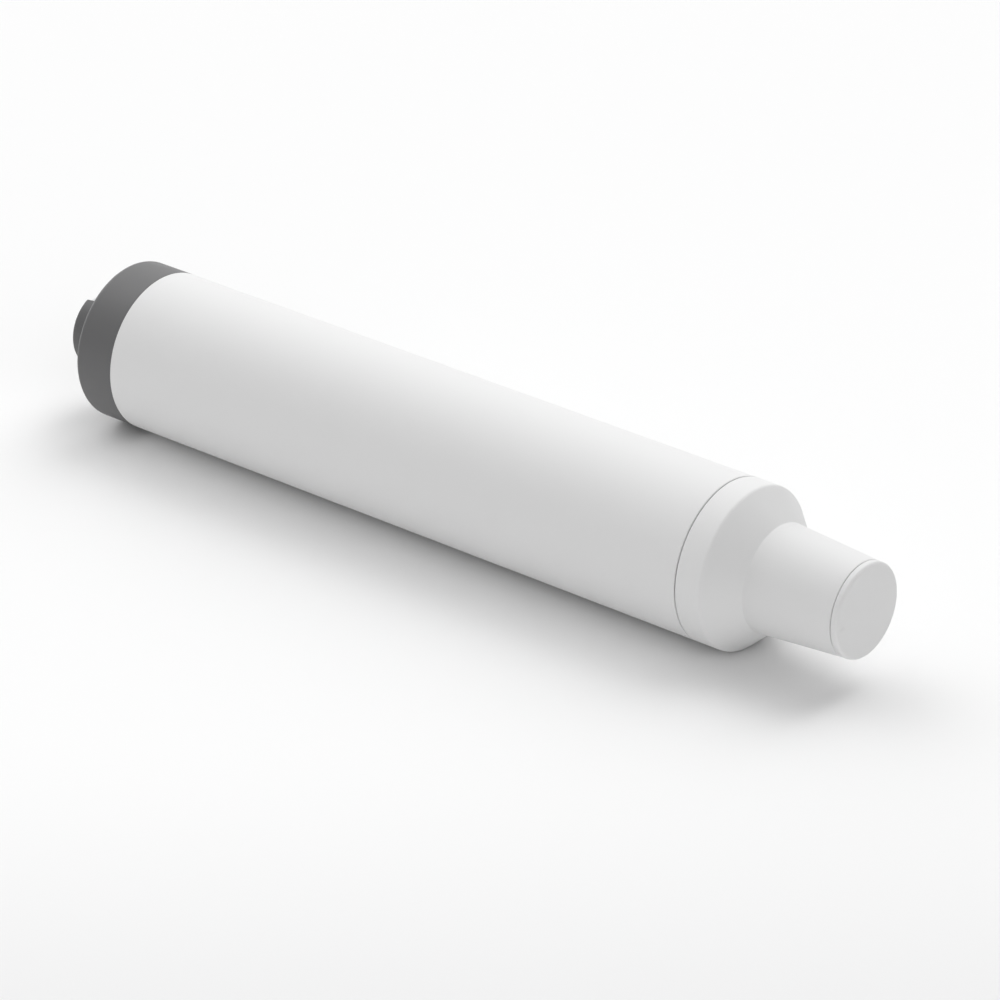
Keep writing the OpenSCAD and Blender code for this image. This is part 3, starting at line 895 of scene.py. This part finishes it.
def makeScreen(look, node):
    low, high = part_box(node)
    outer = (high.z - low.z) / 2
    middle = (low.x + high.x) / 2
    reach = outer - look["rimWidth"] * 0.4
    inner = outer - look["rimWidth"]
    rim = roundedOutline([(low.x, outer, 0.12 * mm), (low.x, inner, 0.1 * mm), (high.x, inner, 0.1 * mm),
                          (high.x, outer, 0.12 * mm)], steps=3, run=0.03 * mm)
    surfaces = [turned(*densify(*rim, longest=0.5 * mm), turns=160),
                weaveFamily(look, middle, reach, False, 1), weaveFamily(look, middle, reach, True, -1)]
    addPiece(node + "_weave", surfaces, meshSteel, [node])


makeScreen(weaveLook, "pressure_mesh")
makeScreen(weaveLook, "outlet_mesh")


# strainer hat: a pressed rim and crown ring, with wires that cross on the cone between them
strainerLook = {
    "rimInner": 5.4 * mm, "rimLip": 1.1 * mm, "sheet": 0.4 * mm,
    "crownRadius": 4.5 * mm, "crownLip": 3.3 * mm, "crownDepth": 0.9 * mm,
    "wires": 26, "wire": 0.1 * mm, "twist": 0.9, "topPitch": 0.75 * mm,
}


def makeStrainer(look):
    low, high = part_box("inlet_strainer")
    outer, sheet = (high.z - low.z) / 2, look["sheet"]
    rimInner, rimLip = look["rimInner"], low.x + look["rimLip"]
    crown, crownFoot = look["crownRadius"], high.x - look["crownDepth"]
    rimOutline = roundedOutline([
        (low.x, outer, 0.1 * mm), (low.x, rimInner - sheet, 0.15 * mm),
        (rimLip, rimInner - 1.15 * sheet, 0.05 * mm), (rimLip, rimInner - 0.15 * sheet, 0.05 * mm),
        (low.x + sheet, rimInner, 0.2 * mm), (low.x + sheet, outer, 0.1 * mm)], steps=4, run=0.04 * mm)
    crownOutline = roundedOutline([
        (crownFoot, crown, 0.05 * mm), (high.x, crown - 0.05 * mm, 0.25 * mm),
        (high.x, look["crownLip"], 0.1 * mm), (high.x - sheet, look["crownLip"], 0.1 * mm),
        (high.x - sheet, crown - sheet, 0.1 * mm), (crownFoot, crown - sheet, 0.05 * mm)],
        steps=4, run=0.04 * mm)
    surfaces = [turned(*densify(*outline, longest=0.4 * mm), turns=96)
                for outline in (rimOutline, crownOutline)]
    along = np.linspace(0, 1, 40)
    station = low.x + 0.7 * mm + along * (high.x - low.x - 1.1 * mm)
    radius = rimInner - 0.75 * sheet + along * (crown - rimInner + 0.25 * sheet)
    start = evenAngles(look["wires"])[:, None]
    for way in (1, -1):
        angle = start + way * look["twist"] * along
        weave = radius + way * look["wire"] * np.cos(2 * look["wires"] * look["twist"] * along)
        stations = np.broadcast_to(station, angle.shape)
        paths = np.stack([stations, weave * np.sin(angle), axisHeight + weave * np.cos(angle)], -1)
        outwards = np.stack([np.zeros_like(angle), np.sin(angle), np.cos(angle)], -1)
        surfaces.append(bars(paths, outwards, look["wire"], sides=5))
    top = weaveLook | {"wire": look["wire"], "pitch": look["topPitch"]}
    reach = look["crownLip"] + 0.25 * mm
    for way, wave in ((False, 1), (True, -1)):
        surfaces.append(weaveFamily(top, high.x - sheet / 2, reach, way, wave))
    addPiece("inlet_strainer_weave", surfaces, meshSteel, ["inlet_strainer"])


makeStrainer(strainerLook)
print("spring, screens and strainer")


# A disc or plug of filling whose skin stands in by up to depth, cell by cell
def fillingSurface(node, look, skin):
    low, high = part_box(node)
    outer, rounding = (high.z - low.z) / 2, look["rounding"]
    outline = roundedOutline([
        (low.x, 0, 0), (low.x, outer, rounding), (high.x, outer, rounding), (high.x, 0, 0)],
        closed=False, steps=5, run=0.05 * mm)
    outline = densify(*outline, closed=False, longest=look["spacing"])
    normal = outlineNormals(outline[0])
    outwards = 1 if normal[len(normal) // 2, 1] > 0 else -1

    def pit(angle, station, radius):
        depth = skin(np.stack([station, radius * np.sin(angle), radius * np.cos(angle)], -1))
        depth = depth * np.clip(radius / (2 * mm), 0, 1)
        return station - depth * normal[:, 0] * outwards, radius - depth * normal[:, 1] * outwards

    return turned(*outline, closed=False, turns=look["turns"], reshape=pit)


carbonLook = {
    "rounding": 0.6 * mm, "spacing": 0.5 * mm, "turns": 230,
    "grain": 1.7 * mm, "depth": 0.42 * mm, "fineGrain": 0.8 * mm, "fineDepth": 0.12 * mm,
}
foamLook = {
    "rounding": 1.0 * mm, "spacing": 0.45 * mm, "turns": 250,
    "cell": 1.3 * mm, "depth": 0.3 * mm,
}
feltLook = {
    "rounding": 0.8 * mm, "spacing": 0.45 * mm, "turns": 250,
    "clump": 2.4 * mm, "depth": 0.18 * mm, "layer": 1.6 * mm, "layerDepth": 0.12 * mm,
}


def carbonSkin(place):
    coarse = np.clip(cellDistance(place, carbonLook["grain"], 1), 0, 0.9) / 0.9
    fine = np.clip(cellDistance(place, carbonLook["fineGrain"], 2), 0, 0.9) / 0.9
    return carbonLook["depth"] * coarse ** 2 + carbonLook["fineDepth"] * fine


def foamSkin(place):
    return foamLook["depth"] * (1 - smoothStep(0.15, 0.75, cellDistance(place, foamLook["cell"], 3)))


def feltSkin(place):
    layers = np.abs(np.sin(math.pi * place[..., 0] / feltLook["layer"])) ** 0.5
    clumps = np.clip(cellDistance(place, feltLook["clump"], 4), 0, 1)
    return feltLook["depth"] * clumps + feltLook["layerDepth"] * (1 - layers)


carbonSurface = fillingSurface("carbon_bed", carbonLook, carbonSkin)
addPiece("carbon_bed_grains", [carbonSurface], carbonGrains, ["carbon_bed"])
foamSurface = fillingSurface("foam_pad", foamLook, foamSkin)
foamPiece = addPiece("foam_pad_cells", [foamSurface], foamCells, ["foam_pad"])
feltSurface = fillingSurface("sediment_pad", feltLook, feltSkin)
feltPiece = addPiece("sediment_pad_felt", [feltSurface], feltFibres, ["sediment_pad"])

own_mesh(foamPiece)
print("fillings: carbon, foam and felt")


# the perforated plates keep their CAD shape
for nodeName in ("pressure_plate", "support_plate"):
    node = frame["nodes"][nodeName]
    node.data.materials.clear()
    node.data.materials.append(naturalPlastic)


# floor and lights
studioLook = {
    "floorSize": 8.0, "floorColour": (0.915, 0.915, 0.915), "nearShadeColour": (0.80, 0.80, 0.802),
    # painted shade: the floor's colour darkens towards the viewer, between two distances in that direction
    "nearTowards": (0.64, -0.77, 0), "nearFrom": 0.10, "nearTo": 0.28,
    # soft lights: degrees round from the front, degrees up, tightness, strength
    "softLights": [
        (175, 60, 25, 4.5),    # the main light, high behind
        (180, 35, 20, 2.0),    # lower behind
        (255, 15, 3, 2.2),     # broad, from the inlet's side
        (270, 60, 15, 1.5),    # high above the inlet
        (0, 15, 3, 0.5),       # broad and weak, from the front
        (65, 30, 10, 1.6),     # weak, from the outlet's side
    ],
}


def makeFloor(look):
    half = look["floorSize"] / 2
    low = cadLow.z
    mesh = bpy.data.meshes.new("floor")
    corners = [(-half, -half, low), (half, -half, low), (half, half, low), (-half, half, low)]
    mesh.from_pydata(corners, [], [(0, 1, 2, 3)])
    floor = bpy.data.objects.new("floor", mesh)
    bpy.context.scene.collection.objects.link(floor)
    material, tree, principled, position = newMaterial("floorPaper", Roughness=0.9, Specular_IOR_Level=0.1)
    # painted shade: the floor's colour is mixed darker towards the viewer
    along = addNode(tree, "VectorMath", {0: position, 1: look["nearTowards"]}, operation="DOT_PRODUCT")
    near = addNode(tree, "MapRange", {"Value": along.outputs["Value"], "From Min": look["nearFrom"],
                                      "From Max": look["nearTo"]}, interpolation_type="SMOOTHSTEP")
    tone = mixColours(tree, near.outputs["Result"], (*look["floorColour"], 1), (*look["nearShadeColour"], 1))
    tree.links.new(tone, principled.inputs["Base Color"])
    mesh.materials.append(material)


# Sky made of soft lights: in direction d each adds strength * max(0, d . u) ^ tightness, where u is the
# direction to the light
def makeSky(look):
    world = bpy.data.worlds.new("studio")
    world.use_nodes = True
    bpy.context.scene.world = world
    tree = world.node_tree
    direction = addNode(tree, "TexCoord").outputs["Generated"]
    total = 0.0
    for around, up, tightness, strength in look["softLights"]:
        around, up = math.radians(around), math.radians(up)
        towards = (math.sin(around) * math.cos(up), -math.cos(around) * math.cos(up), math.sin(up))
        facing = addNode(tree, "VectorMath", {0: direction, 1: towards}, operation="DOT_PRODUCT")
        positive = maths(tree, "MAXIMUM", facing.outputs["Value"], 0.0)
        lobe = maths(tree, "POWER", positive, float(tightness))
        total = maths(tree, "MULTIPLY_ADD", lobe, strength, total)
    tree.links.new(total, tree.nodes["Background"].inputs["Strength"])
    tree.nodes["Background"].inputs["Color"].default_value = (1, 1, 1, 1)


makeFloor(studioLook)
makeSky(studioLook)
print("studio: floor and", len(studioLook["softLights"]), "soft lights")
